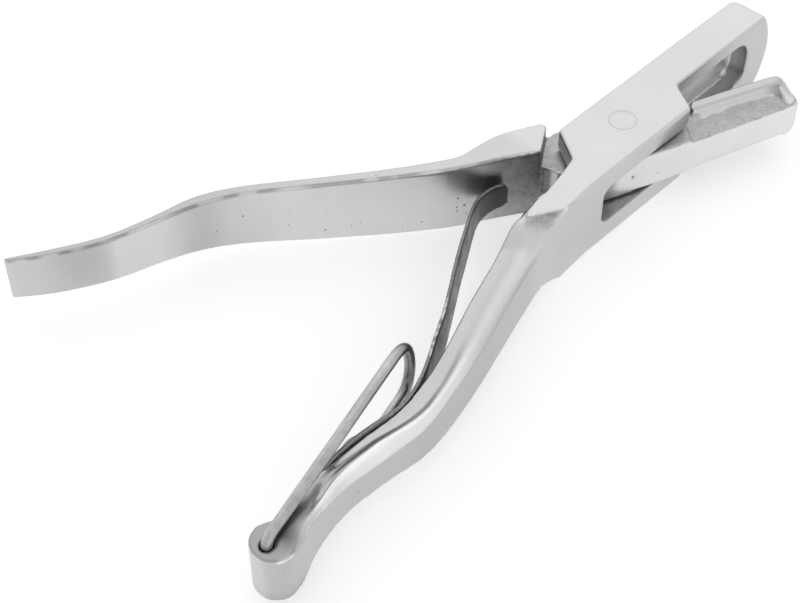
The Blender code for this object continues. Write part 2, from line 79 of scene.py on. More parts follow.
# The box lever's handle: centre line (x, y), width, and crown above its creases
HANDLE_RUN = (
    (-0.0400, -0.0070, 0.0090, 0.0010), (-0.0536, -0.0093, 0.0104, 0.0012),
    (-0.0640, -0.0126, 0.0099, 0.0012), (-0.0781, -0.0172, 0.0098, 0.0013),
    (-0.0920, -0.0221, 0.0092, 0.0014), (-0.1066, -0.0264, 0.0084, 0.0015),
    (-0.1181, -0.0283, 0.0087, 0.0018), (-0.1297, -0.0274, 0.0089, 0.0020),
    (-0.1421, -0.0271, 0.0079, 0.0016), (-0.1510, -0.0286, 0.0062, 0.0010),
    (-0.1594, -0.0300, 0.0070, 0.0004), (-0.1655, -0.0311, 0.0102, 0.0),
    (-0.1693, -0.0311, 0.0126, 0.0), (-0.1780, -0.0311, 0.0126, 0.0),
)
HANDLE_HEAD = (-0.062, -0.050)
HANDLE_LEVEL = 0.0096
SEAT_RISE = 0.0003
SEAT_FILL = 0.00022
WIRE_FILL = 0.0018
BOSS_FALL = 0.0008

# Where the crown's foot lies across the handle, from 0 at its inner crease to 1 at its outer one
FOOT = (
    (-0.170, -0.163, -0.1564, -0.152, -0.1474, -0.130, -0.122, -0.113, -0.105, -0.095, -0.080, -0.062),
    (0.98, 0.79, 0.72, 0.50, 0.33, 0.36, 0.45, 0.57, 0.57, 0.50, 0.42, 0.40),
)

# How much darker the handle's top is along X, as painted shade and, below 0, painted highlight: its inner
# band, the crown's foot, the crown, and their blend
BAND_STATIONS = (-0.160, -0.150, -0.142, -0.132, -0.100, -0.088, -0.050)
INNER_BAND = (0.44, 0.34, 0.14, 0.12, 0.18, 0.14, 0.12)
FOOT_BAND = (0.38, 0.34, 0.36, 0.36, 0.36, 0.20, 0.18)
CROWN_BAND = (0.06, 0.00, -0.26, -0.32, -0.17, 0.04, 0.04)
CROWN_BLEND = (0.07, 0.07, 0.10, 0.14, 0.20, 0.28, 0.28)

# The step from the handle to the box, and the boss at the handle's end: fall, start, and the places of
# painted shade and painted highlights
STEP_FALL = 0.0046
STEP_INNER = (-0.0500, -0.0035)
STEP_EDGE = ((-0.0476, -0.0068, 0.0264), (-0.0402, -0.0112, 0.0268))
STEP_CORNER = ((-0.0392, -0.0117, 0.0280), (-0.0472, -0.0110, 0.0242))
BOSS_START = -0.164
BOSS_HOLLOW = (-0.1660, -0.0334, 0.0226)
BOSS_NECK = (-0.1524, -0.0274)
BOSS_RIM = ((-0.1731, -0.0364, 0.0222), (-0.1683, -0.0373, 0.0222))
BOSS_UNDER_WIRE = ((-0.1667, -0.0318, 0.0230), (-0.1570, -0.0285, 0.0230))

# The pocketed jaw's face and the slot's height above the middle
JAW_FACE = -0.0018
SLOT_LEVEL = 0.0070

# The inner lever: directions that point into two of its sides, its pad's and web's levels, and places where
# it melts and where shade and highlights are painted
INNER_SIDE = (0.55, 0.83, 0)
JAW_SIDE = (0.36, 0.93, 0)
PAD_LEVEL = 0.0078
WEB_LEVEL = 0.0061
PAD_START = (0.0238, -0.0074)
TONGUE_CORNER = (-0.0142, 0.0166)
TONGUE_WALL = (-0.0218, 0.0118)
TONGUE_EDGE = ((-0.0243, 0.0088, 0.0206), (-0.0233, 0.0036, 0.0206))
JAW_CORNERS = ((0.0556, -0.0222, 0.0062), (0.0556, -0.0222, 0.0222))
JAW_END = (0.0522, -0.0224, 0.0208)
JAW_END_WALL = (0.0500, -0.0215)

# The leaf spring: centre line (x, y) and half width, from the riveted root to the curl
SPRING_RUN = (
    (-0.1452, -0.0227, 0.0062), (-0.1392, -0.0220, 0.0064), (-0.1326, -0.0219, 0.0065),
    (-0.1262, -0.0223, 0.0065), (-0.1207, -0.0229, 0.0065), (-0.1159, -0.0229, 0.0065),
    (-0.1115, -0.0220, 0.0067), (-0.1077, -0.0208, 0.0071), (-0.1030, -0.0187, 0.0075),
    (-0.0950, -0.0143, 0.0081), (-0.0870, -0.0100, 0.0084), (-0.0791, -0.0050, 0.0085),
    (-0.0685, 0.0019, 0.0083), (-0.0584, 0.0080, 0.0074), (-0.0520, 0.0118, 0.0062),
    (-0.0470, 0.0142, 0.0052), (-0.0425, 0.0149, 0.0048), (-0.0388, 0.0145, 0.0046),
    (-0.0353, 0.0131, 0.0044),
)
SPRING_THICK = 0.0013
SPRING_TIP = 0.0022
RIVET_SEAT = (-0.1326, -0.0229, MID)
RIVET_OUT = (0.0471, 0.9989, 0.0)

# The locking bail: its hinge, reach, turn at rest, level, bend, wire radius and its end (reach, height)
BAIL_PIVOT = (-0.1715, -0.0307)
BAIL_REACH = 0.0737
BAIL_TURN = np.radians(16.0)
BAIL_LEVEL = 0.01035
BAIL_BEND = 0.0026
WIRE = 0.00155
BAIL_END = (
    (0.0630, 0.01035), (0.0660, 0.01020), (0.0692, 0.00900), (0.0715, 0.00680), (0.0729, 0.00350),
    (0.0736, -0.00020), (0.0736, -0.00420), (0.0727, -0.00760), (0.0708, -0.00970), (0.0680, -0.01035),
    (0.0650, -0.01035),
)

# The pivot pin's radius, and the half width of the groove round its peened end
PIN = 0.0041
PIN_GROOVE = 0.00016

# Blow holes of the casting: place and radius
INNER_PITS = (
    (-0.0526, 0.0261, 0.0223, 0.0003), (-0.0465, 0.0221, 0.0142, 0.0004), (-0.0448, 0.0211, 0.0109, 0.0005),
    (-0.0467, 0.0222, 0.0106, 0.0003), (-0.0466, 0.0222, 0.0089, 0.0004), (-0.0442, 0.0208, 0.0074, 0.0003),
    (-0.0553, 0.0281, 0.0065, 0.0003), (-0.0332, 0.0145, 0.0084, 0.0004), (-0.0960, 0.0605, 0.0158, 0.0004),
    (-0.1027, 0.0647, 0.0116, 0.0003), (-0.0858, 0.0524, 0.0104, 0.0003), (-0.0778, 0.0458, 0.0071, 0.0003),
    (-0.0717, 0.0408, 0.0078, 0.0003), (-0.0696, 0.0391, 0.0091, 0.0003), (-0.0648, 0.0374, 0.0259, 0.0003),
    (-0.0042, -0.0090, 0.0142, 0.0006), (0.0040, -0.0121, 0.0123, 0.0003),
)
BOX_PITS = ((-0.1411, -0.0311, 0.0143, 0.0004), (-0.1290, -0.0305, 0.0120, 0.0003))


def read(items, name, width, kind=float):
    """One property of many mesh items, as an array of rows."""
    values = np.empty(len(items) * width, kind)
    items.foreach_get(name, values)
    return values.reshape(-1, width)


def unit(rows):
    """Each row scaled to length one."""
    return rows / np.maximum(np.linalg.norm(rows, axis=-1, keepdims=True), 1e-12)


def through(rows, steps):
    """A curve through rows of numbers: each stretch is the cubic that leaves and reaches its ends
    along the line between the neighbours of those ends."""
    rows = np.asarray(rows, float)
    ends = np.vstack([2 * rows[0] - rows[1], rows, 2 * rows[-1] - rows[-2]])
    a, b, c, d = ends[:-3, None], ends[1:-2, None], ends[2:-1, None], ends[3:, None]
    t = np.linspace(0, 1, steps, endpoint=False)[None, :, None]
    stretch = b + (c - a) * t / 2 + (2 * a - 5 * b + 4 * c - d) * t ** 2 / 2
    stretch += (3 * b - a - 3 * c + d) * t ** 3 / 2
    return np.vstack([stretch.reshape(-1, rows.shape[1]), rows[-1]])


def lumps(points, size, seed):
    """Soft noise from -1 to 1: random heights on a cubic grid of this size, blended between its corners."""
    heights = np.random.default_rng(seed).uniform(-1, 1, (32, 32, 32))
    place = points / size
    low = np.floor(place).astype(int)
    share = place - low
    share = share * share * (3 - 2 * share)
    total = np.zeros(len(points))
    for corner in np.ndindex(2, 2, 2):
        at = (low + corner) % 32
        total += heights[at[:, 0], at[:, 1], at[:, 2]] * np.prod(np.where(corner, share, 1 - share), axis=1)
    return total


def ramp(values, low, high):
    """0 up to low and 1 from high, with a soft rise between."""
    t = np.clip((values - low) / (high - low), 0, 1)
    return t * t * (3 - 2 * t)


def between(values, low, full, fading, high):
    """0 up to low and from high, and 1 from full to fading, with a soft rise and fall."""
    return ramp(values, low, full) * (1 - ramp(values, fading, high))


def facing(normal, way):
    """How squarely each point faces against a direction."""
    return -(normal @ np.asarray(way))


def dip(values, middle, width, depth):
    """A soft hollow in a line of values: the depth at the middle, falling off as a bell."""
    return depth * np.exp(-(((values - middle) / width) ** 2))


def past_pits(points, pits):
    """Each point's distance in millimetres from the rim of the nearest pit, below 0 inside it."""
    least = np.full(len(points), 5.0)
    for *place, radius in pits:
        least = np.minimum(least, (np.linalg.norm(points - place, axis=1) - radius) * 1000)
    return least


def grid_mesh(name, points, round_u=False, round_v=False, caps=()):
    """A mesh from a grid of points (rows, columns, 3); a round direction joins its last line to its first,
    and caps names the rows that are closed by a face."""
    rows, columns = points.shape[:2]
    u = np.arange(rows if round_u else rows - 1)
    v = np.arange(columns if round_v else columns - 1)
    u, v = (side.ravel() for side in np.meshgrid(u, v, indexing="ij"))
    low, high = u * columns, (u + 1) % rows * columns
    v_next = (v + 1) % columns
    faces = np.stack([low + v, low + v_next, high + v_next, high + v], 1).tolist()
    for row in caps:
        faces.append([row % rows * columns + i for i in range(columns)])
    mesh = bpy.data.meshes.new(name)
    mesh.from_pydata(points.reshape(-1, 3).tolist(), [], faces)
    form = bmesh.new()
    form.from_mesh(mesh)
    bmesh.ops.remove_doubles(form, verts=form.verts, dist=WELD)
    bmesh.ops.recalc_face_normals(form, faces=form.faces)
    form.to_mesh(mesh)
    form.free()
    return mesh


def mark(mesh, name, values):
    """A number at each point of the mesh, for its finish to read."""
    mesh.attributes.new(name, "FLOAT", "POINT").data.foreach_set("value", np.asarray(values, np.float32))


def show(name, mesh, finish, body, node, sharp=None):
    """The finished piece: it rides on its body and stands for its solid."""
    mesh.shade_smooth()
    if sharp:
        mesh.set_sharp_from_angle(angle=np.radians(sharp))
    piece = bpy.data.objects.new(name, mesh)
    bpy.context.scene.collection.objects.link(piece)
    mesh.materials.clear()
    mesh.materials.append(finish)
    if body:
        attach(piece, body)
    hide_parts(node)
    return piece


class Net:
    """A short way to lay nodes in one tree."""

    def __init__(self, tree):
        self.tree = tree

    def add(self, kind, inputs=(), **settings):
        """A node of this kind, with its settings, and with values or links put into its inputs."""
        node = self.tree.nodes.new("ShaderNode" + kind)
        for key, value in settings.items():
            setattr(node, key, value)
        for key, value in dict(inputs).items():
            if isinstance(value, bpy.types.NodeSocket):
                self.tree.links.new(value, node.inputs[key])
            else:
                node.inputs[key].default_value = value
        return node

    def math(self, operation, a, b=0.0, clamp=False):
        """One sum of two numbers."""
        return self.add("Math", {0: a, 1: b}, operation=operation, use_clamp=clamp).outputs[0]

    def rise(self, value, low, high, start=0.0, end=1.0):
        """The value carried from the range low..high to the range start..end, and held at its ends."""
        return self.add("MapRange", {0: value, 1: low, 2: high, 3: start, 4: end}).outputs[0]

    def blend(self, share, a, b, how="MIX"):
        """Two colours blended by a share."""
        node = self.add("Mix", data_type="RGBA", blend_type=how)
        for socket, value in ((node.inputs[0], share), (node.inputs[6], a), (node.inputs[7], b)):
            if isinstance(value, bpy.types.NodeSocket):
                self.tree.links.new(value, socket)
            else:
                socket.default_value = value
        return node.outputs[2]

    def noise(self, where, scale, detail=3.0, roughness=0.55):
        """Soft noise from 0 to 1."""
        return self.add("TexNoise", {"Vector": where, "Scale": scale, "Detail": detail,
                                     "Roughness": roughness}).outputs[0]


def skin_group(name, numbers):
    """A node group that takes a base colour and these numbers and gives a colour, a roughness and a normal:
    (the group, its net, its inputs, and the place on the piece)."""
    group = bpy.data.node_groups.new(name, "ShaderNodeTree")
    sockets = group.interface
    sockets.new_socket("Base", in_out="INPUT", socket_type="NodeSocketColor")
    for number in numbers:
        sockets.new_socket(number, in_out="INPUT", socket_type="NodeSocketFloat")
    sockets.new_socket("Colour", in_out="OUTPUT", socket_type="NodeSocketColor")
    sockets.new_socket("Roughness", in_out="OUTPUT", socket_type="NodeSocketFloat")
    sockets.new_socket("Normal", in_out="OUTPUT", socket_type="NodeSocketVector")
    net = Net(group)
    given = group.nodes.new("NodeGroupInput").outputs
    return group, net, given, net.add("TexCoord").outputs["Object"]


def finish_group(group, net, base, tone, rough, height, strength):
    """Gives out the group's results: the base colour times a tone, the roughness, and a height's bump."""
    grey = net.add("CombineColor", {0: tone, 1: tone, 2: tone}).outputs[0]
    colour = net.blend(1.0, base, grey, "MULTIPLY")
    bump = net.add("Bump", {"Height": height, "Strength": strength, "Distance": 0.00002})
    done = group.nodes.new("NodeGroupOutput").inputs
    for name, value in (("Colour", colour), ("Roughness", rough), ("Normal", bump.outputs[0])):
        group.links.new(value, done[name])
    return group


def cast_skin():
    """A node group: the tumbled skin of a casting. Raw is 1 where it was left rough, Rim is above 0 on worn
    edges and below 0 in hollows, which it darkens as painted shade; Shade is painted shade, turned to a
    painted highlight below 0; and Pit is the distance past a blow hole's rim."""
    group, net, given, where = skin_group("cast_skin", ("Raw", "Rim", "Shade", "Pit"))
    cloud = net.noise(where, 55.0, 3.0)
    drift = net.noise(where, 16.0, 2.0)
    grain = net.noise(where, 1500.0, 2.0, 0.6)
    across = net.add("Mapping", {"Vector": where, "Scale": (1400.0, 1400.0, 70.0)}).outputs[0]
    brush = net.noise(across, 1.0, 3.0, 0.65)
    cells = net.add("TexVoronoi", {"Vector": where, "Scale": 260.0, "Randomness": 1.0}, feature="F1")
    few = net.noise(where, 70.0, 2.0)
    dots = net.rise(cells.outputs["Distance"], 0.04, 0.09, 1.0, 0.0)
    small = net.math("MULTIPLY", dots, net.rise(few, 0.58, 0.62))
    ragged = net.math("ADD", given["Pit"], net.rise(grain, 0.2, 0.8, -0.2, 0.2))
    pit = net.math("MAXIMUM", net.rise(ragged, -0.10, 0.12, 1.0, 0.0), net.math("MULTIPLY", small, 0.6))
    coarse = net.noise(where, 1100.0, 4.0, 0.7)
    patch = net.noise(where, 260.0, 3.0, 0.6)

    tone = net.math("ADD", net.rise(cloud, 0.25, 0.75, 0.96, 1.04), net.rise(drift, 0.3, 0.7, -0.03, 0.03))
    tone = net.math("ADD", tone, net.rise(brush, 0.3, 0.7, -0.025, 0.025))
    # Worn edges a little lighter, and hollows darker as painted shade
    tone = net.math("ADD", tone, net.rise(given["Rim"], 0.2, 0.9, 0.0, 0.04))
    tone = net.math("SUBTRACT", tone, net.rise(given["Rim"], -0.15, -0.9, 0.0, 0.30))
    mottle = net.math("ADD", net.rise(coarse, 0.3, 0.7, 0.58, 0.84), net.rise(patch, 0.3, 0.7, -0.07, 0.07))
    skinned = net.math("ADD", 1.0, net.math("MULTIPLY", net.math("SUBTRACT", mottle, 1.0), given["Raw"]))
    tone = net.math("MULTIPLY", tone, skinned)
    # Shade: painted shade, and a painted highlight where it is below 0
    tone = net.math("MULTIPLY", tone, net.math("SUBTRACT", 1.0, given["Shade"]))
    tone = net.math("MULTIPLY", tone, net.math("SUBTRACT", 1.0, net.math("MULTIPLY", pit, 0.6)))

    rough = net.math("ADD", net.rise(cloud, 0.3, 0.7, 0.28, 0.35), net.rise(brush, 0.3, 0.7, -0.03, 0.04))
    rough = net.math("ADD", rough, net.rise(given["Raw"], 0.0, 1.0, 0.0, 0.18), clamp=True)

    height = net.math("ADD", net.math("MULTIPLY", grain, 0.3), net.math("MULTIPLY", brush, 0.6))
    height = net.math("SUBTRACT", height, net.math("MULTIPLY", pit, 5.0))
    height = net.math("ADD", height, net.math("MULTIPLY", net.math("MULTIPLY", coarse, given["Raw"]), 4.5))
    return finish_group(group, net, given["Base"], tone, rough, height, 0.35)


def worn_and_sheen_skin():
    """A node group for wire and spring steel: clouds and fine specks; Rim, which paints highlights, and
    below 0 paints shade and reflections, and on the spring also brightens worn specks; and a roughness that
    wanders from Low to High."""
    group, net, given, where = skin_group("worn_and_sheen_skin", ("Speck", "Rim", "Low", "High"))
    cloud = net.noise(where, 180.0, 4.0, 0.65)
    fine = net.noise(where, 1300.0, 3.0, 0.6)
    patch = net.rise(cloud, 0.35, 0.7)
    speck = net.math("MULTIPLY", net.rise(fine, 0.56, 0.68), given["Speck"])
    tone = net.math("ADD", net.rise(patch, 0.0, 1.0, 0.78, 1.16), net.math("MULTIPLY", speck, 0.9))
    # Rim: painted highlights, and below 0 painted shade and reflections
    tone = net.math("ADD", tone, net.math("MULTIPLY", given["Rim"], net.rise(fine, 0.3, 0.7, 2.4, 4.4)))
    share = net.math("ADD", net.math("MULTIPLY", patch, 0.6), net.math("MULTIPLY", fine, 0.4))
    rough = net.add("MapRange", {0: share, 1: 0.2, 2: 0.8, 3: given["Low"], 4: given["High"]}).outputs[0]
    height = net.math("ADD", fine, net.math("MULTIPLY", cloud, 2.0))
    return finish_group(group, net, given["Base"], tone, rough, height, 0.3)


def metal(name, group, values):
    """A metal whose colour, roughness and normal come from a shared group; its marks come from the mesh."""
    material = bpy.data.materials.new(name)
    material.use_nodes = True
    net = Net(material.node_tree)
    shader = material.node_tree.nodes["Principled BSDF"]
    shader.inputs["Metallic"].default_value = 1.0
    skin = net.add("Group", node_tree=group)
    for key, value in values.items():
        if isinstance(value, str):
            marked = net.add("Attribute", attribute_name=value, attribute_type="GEOMETRY")
            net.tree.links.new(marked.outputs["Fac"], skin.inputs[key])
        else:
            skin.inputs[key].default_value = value
    for name, socket in (("Colour", "Base Color"), ("Roughness", "Roughness"), ("Normal", "Normal")):
        net.tree.links.new(skin.outputs[name], shader.inputs[socket])
    return material


def even_skin(node, turn, cell):
    """The solid's skin in even cells: its triangles are welded, and its surface is laid again in small
    squares that lie along its jaw, which is turned by this angle."""
    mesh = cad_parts[node].data.copy()
    form = bmesh.new()
    form.from_mesh(mesh)
    bmesh.ops.remove_doubles(form, verts=form.verts, dist=WELD)
    form.to_mesh(mesh)
    form.free()
    mesh.transform(Matrix.Rotation(turn, 4, "Z"))
    blank = bpy.data.objects.new(node + "_blank", mesh)
    bpy.context.scene.collection.objects.link(blank)
    cells = blank.modifiers.new("cells", "REMESH")
    cells.mode = "VOXEL"
    cells.voxel_size = cell
    skin = bpy.data.meshes.new_from_object(blank.evaluated_get(bpy.context.evaluated_depsgraph_get()))
    bpy.data.objects.remove(blank)
    skin.transform(Matrix.Rotation(-turn, 4, "Z"))
    return skin


def eased(points, edges, rounds, share=1.0, back=0.0):
    """Rounded like a tumbled casting: in each round a point moves half way to the mean of its neighbours,
    times its share, and back out by a little less, so that edges stay crisp and only the ripple goes."""
    points = points.copy()
    count = np.bincount(edges.ravel(), minlength=len(points))[:, None]
    share = np.broadcast_to(share, len(points))[:, None]
    for step in range(2 * rounds if back else rounds):
        total = np.stack([
            np.bincount(edges[:, 0], points[edges[:, 1], axis], len(points))
            + np.bincount(edges[:, 1], points[edges[:, 0], axis], len(points)) for axis in range(3)], 1)
        points += (-back if back and step % 2 else 0.5) * share * (total / count - points)
    return points


def beside(points, run):
    """Each point's place beside a line of rows (x, y, width, crown): its offset to the right in half widths,
    and the crown there."""
    line = through(run, 10)
    least, nearest = np.full(len(points), np.inf), np.zeros(len(points), int)
    for i, place in enumerate(line[:, :2]):
        away = ((points[:, :2] - place) ** 2).sum(1)
        nearest = np.where(away < least, i, nearest)
        least = np.minimum(least, away)
    along = unit(np.gradient(line[:, :2], axis=0))
    right = np.stack([along[:, 1], -along[:, 0]], 1)[nearest]
    offset = ((points[:, :2] - line[nearest, :2]) * right).sum(1)
    return offset / (line[nearest, 2] / 2), line[nearest, 3], right


def cast_lever(name, node, body, finish, turn, cell, shape, pits):
    """A lever: the solid's skin with tumbled edges, and then its own hollows, melted walls and waves. A wave
    moves each point along its normal by soft noise, and none is near the pin."""
    mesh = even_skin(node, turn, cell)
    points = read(mesh.vertices, "co", 3)
    edges = read(mesh.edges, "vertices", 2, np.int32)
    sharp_normal = read(mesh.vertices, "normal", 3)
    soft = eased(eased(points, edges, EDGE_ROUNDS), edges, SKIN_ROUNDS, back=STEP_BACK)
    # Rim: above 0 on worn edges, below 0 in hollows, which the skin darkens as painted shade
    rim = ((points - soft) * sharp_normal).sum(1) / WEAR_AND_SHADE_DEPTH
    mesh.vertices.foreach_set("co", soft.ravel())
    mesh.update()
    moved, melted, raw, shade = shape(soft, read(mesh.vertices, "normal", 3))
    moved = eased(moved, edges, MELT_ROUNDS, melted)
    mesh.vertices.foreach_set("co", moved.ravel())
    mesh.update()
    push = 0.00004 * lumps(moved, 0.012, 1) + 0.000015 * lumps(moved, 0.004, 2)
    push += raw * 0.00004 * lumps(moved, 0.0013, 3)
    push *= ramp(np.hypot(moved[:, 0], moved[:, 1]), PIN + 0.001, PIN + 0.004)
    mesh.vertices.foreach_set("co", (moved + read(mesh.vertices, "normal", 3) * push[:, None]).ravel())
    for key, values in (("rim", rim), ("raw", raw), ("shade", shade), ("pit", past_pits(soft, pits))):
        mark(mesh, key, values)
    show(name, mesh, finish, body, node)


def near(points, place, reach):
    """1 at a place and 0 from its reach on, with a soft fall between. A place of two numbers is a line
    along Z."""
    place = np.asarray(place)
    return 1 - ramp(np.linalg.norm(points[:, :len(place)] - place, axis=1), 0.0, reach)


def streak(points, start, end, reach):
    """1 on the line from start to end and 0 from its reach on, with a soft fall between."""
    start, way = np.asarray(start), np.subtract(end, start)
    share = np.clip((points - start) @ way / (way @ way), 0, 1)
    return 1 - ramp(np.linalg.norm(points - start - share[:, None] * way, axis=1), 0.0, reach)


def lying(normal):
    """1 where the surface faces up or down, and 0 where it stands."""
    return ramp(np.abs(normal[:, 2]), 0.35, 0.6)


def handle_bands(x, across):
    """How much darker the handle's top is at each place beside its centre line, as painted shade and
    highlight: a flat inner band, the foot of the crown, and the crown with its painted highlight."""
    share = (1 - across) / 2
    inner, valley, centre, blend = (
        np.interp(x, BAND_STATIONS, band) for band in (INNER_BAND, FOOT_BAND, CROWN_BAND, CROWN_BLEND))
    foot = np.interp(x, *FOOT)
    bands = inner + (valley - inner) * ramp(share, foot - 0.16, foot)
    return bands + (centre - valley) * ramp(share, foot, foot + blend)


def handle_form(points, normal, across, crown, right):
    """The handle's form over its plain arch. The crown sinks to a flat band on its inner side, and the boss
    slopes to its outer side. The inner side fills out below the spring and the wire, and at the step the top
    sweeps up to the box."""
    x, z = points[:, 0], points[:, 2]
    level = np.abs(z - MID)
    on_top = lying(normal)
    foot = 1 - 2 * np.interp(x, *FOOT)
    upper = ramp(x, -0.100, -0.086)
    hollow = ramp(across, foot - 0.40 - 0.25 * upper, foot + 0.30 + 0.25 * upper) * (0.9 - 0.4 * upper)
    rise = -crown * np.clip(1 - across ** 2, 0, 1) * hollow * (1 - ramp(x, *HANDLE_HEAD))
    boss = (1 - ramp(x, -0.160, -0.143)) * on_top
    rise -= BOSS_FALL * np.clip((foot - across) / (foot + 1.02), 0, 1) * boss
    seat = between(x, -0.146, -0.141, -0.110, -0.104) * ramp(across, 0.5, 1.0)
    rise += SEAT_RISE * seat * on_top
    sweep = ramp(x, -0.064, -0.0505) ** 2 * (1 - ramp(x, -0.040, -0.038)) * ramp(across, -0.80, 0.80)
    lift = np.where(level > HANDLE_LEVEL, MID - level, STEP_FALL * ramp(level, 0.0030, HANDLE_LEVEL))
    fill = SEAT_FILL * seat + WIRE_FILL * between(x, -0.163, -0.152, -0.150, -0.140) * ramp(across, 0.2, 0.9)
    moved = points.copy()
    moved[:, 2] += np.sign(z - MID) * (rise + sweep * lift)
    moved[:, :2] += right * fill[:, None]
    return moved


def handle_shade(points, normal, across):
    """How much darker the handle reflects, as painted shade and highlights: its bands, its outer crease and
    its flank in painted shade; painted shade below the box's edge, with a painted highlight on its corner;
    and at the boss, painted shade in its hollow, painted light at its neck, the wire's painted dark
    reflection, a painted highlight on its rim, and a band of painted shade low on its sides."""
    x, y, z = points.T
    level = np.abs(z - MID)
    on_top = lying(normal)
    handle = 1 - ramp(x, *HANDLE_HEAD)
    shade = handle * handle_bands(x, across) * on_top
    # Painted shade along the outer crease and on the handle's flank
    shade += handle * dip(across, -1.0, 0.09, 0.15) * ramp(level, 0.0060, 0.0085)
    flank = handle * (1 - on_top) * ramp(-normal[:, 1], 0.2, 0.6)
    shade += flank * (0.12 + 0.07 * ramp(x, -0.130, -0.115) - 0.05 * ramp(x, -0.090, -0.070))

    # Painted shade below the box's edge, and a painted highlight on its outer corner
    patch = streak(points, *STEP_EDGE, 0.0062) * (z < TOP - 0.0003) * (y > -0.0118)
    shade += patch * (0.44 + 0.22 * lumps(points, 0.0008, 9))
    shade -= 0.65 * streak(points, *STEP_CORNER, 0.0007)

    # At the boss: painted shade in its hollow, painted light at its neck, the wire's painted dark
    # reflection, a painted highlight on its rim, and painted shade in a band low on its sides
    shade += (0.24 * near(points, BOSS_HOLLOW, 0.0062) - 0.30 * near(points, BOSS_NECK, 0.0070)) * on_top
    shade += 0.16 * streak(points, *BOSS_UNDER_WIRE, 0.0024) - 0.70 * streak(points, *BOSS_RIM, 0.0008)
    shade_band_height = 0.006 + 0.0015 * lumps(points, 0.01, 4)
    return shade + dip(z, shade_band_height, 0.003, 0.10) * (x < BOSS_START) * (1 - on_top)


def pocket_skin(points, normal):
    """The pocketed jaw: how far each point is the pocket's, how far the raw slot's, and how much darker it
    reflects, as painted shade and highlight. The pocket's standing walls are painted lighter, most at its
    far end as a painted highlight, and its upper strip and the jaw's face carry painted shade."""
    x, y, z = points.T
    level = np.abs(z - MID)
    pocket = between(x, 0.018, 0.022, 0.0625, 0.0635) * (1 - ramp(level, 0.0092, 0.0096))
    pocket *= between(y, JAW_FACE + 0.0004, JAW_FACE + 0.0016, 0.0055, 0.0062)
    slot = between(x, -0.031, -0.0275, 0.022, 0.026)
    slot *= 1 - ramp(level, SLOT_LEVEL + 0.0004, SLOT_LEVEL + 0.0010)
    slot *= (np.abs(normal[:, 2]) > 0.5) | ((x < -0.017) & (y > -0.0100))
    bright = ramp(x, 0.055, 0.060) * (1 - ramp(z, MID, MID + 0.002))
    up = ramp(normal[:, 2], 0.2, 0.6)
    shade = pocket * (0.02 * up - (0.25 + 0.35 * bright) * (1 - up))
    strip = ramp(z - 0.0125 - 0.25 * (x - 0.0375), 0.0, 0.0004) * (normal[:, 1] < -0.7)
    shade += 0.30 * pocket * strip
    face = ramp(-normal[:, 1], 0.7, 0.95) * ramp(x, 0.010, 0.014) * (np.abs(y - JAW_FACE) < 0.0008)
    return pocket, slot, shade + face * (0.45 - 0.36 * ramp(x, 0.015, 0.062))


def box_lever_shape(points, normal):
    """The box lever: its moved points, how far they melt, how raw they are, and how much darker."""
    across, crown, right = beside(points, HANDLE_RUN)
    pocket, slot, shade = pocket_skin(points, normal)
    slot_rim = np.abs(np.abs(points[:, 2] - MID) - SLOT_LEVEL) < 0.0010
    melted = 0.5 * near(points, STEP_INNER, 0.0030) + 0.8 * pocket * slot_rim
    shade += handle_shade(points, normal, across)
    moved = handle_form(points, normal, across, crown, right)
    return moved, np.clip(melted, 0, 0.95), np.clip(0.4 * pocket + slot, 0, 1), np.clip(shade, -0.6, 0.85)


def padded_jaw_skin(points, normal):
    """The padded jaw: how far it melts, how raw it is and how much darker it reflects. The wall from the pad
    down to the web is soft and the jaw's corners are rounded. The web's floor is raw up to a wavy line, and
    so is the tongue's disc."""
    x, y, z = points.T
    along = x * np.cos(JAW_TURN) - y * np.sin(JAW_TURN)
    across = x * np.sin(JAW_TURN) + y * np.cos(JAW_TURN)
    level = np.abs(z - MID)
    standing = level > 0.0046
    jaw = ramp(along, 0.018, 0.021)
    wall = jaw * dip(across, 0.0001, 0.0016, 1.0) * standing * (level < 0.0092)
    start = near(points, PAD_START, 0.0042) * standing * (along < 0.0262)
    melted = 0.95 * np.maximum(wall, start > 0.1) + 0.9 * near(points, TONGUE_CORNER, 0.0026)
    for corner in JAW_CORNERS:
        melted += 0.8 * near(points, corner, 0.0040)

    wavy = across + 0.0005 * lumps(points, 0.005, 10)
    floor = (np.abs(normal[:, 2]) > 0.7) & (level < np.where(jaw > 0.5, WEB_LEVEL, SLOT_LEVEL))
    raw = floor * np.where(jaw > 0.5, 1 - ramp(wavy, -0.0010, -0.0004), 1.0)
    disc = (level < SLOT_LEVEL) * between(x, 0.004, 0.006, 0.024, 0.026) * (across > -0.0074)

    # Painted light and shade: the jaw's outer side and the pad's start are painted lighter, and the pad's
    # top, the jaw's end and its end wall darker
    side = ramp(facing(normal, JAW_SIDE), 0.75, 0.95) * ramp(x, -0.020, -0.012) * (across < -0.0070)
    pad = jaw * (level > PAD_LEVEL) * (np.abs(normal[:, 2]) > 0.6)
    end_wall = near(points, JAW_END_WALL, 0.0060) * (level < 0.0084)
    end_wall *= (across > -0.0170) * (normal[:, 0] < -0.2)
    shade = 0.16 * pad - 0.26 * side - 0.10 * start
    shade += 0.16 * near(points, JAW_END, 0.0050) + 0.40 * end_wall
    return melted, np.maximum(raw, disc), shade


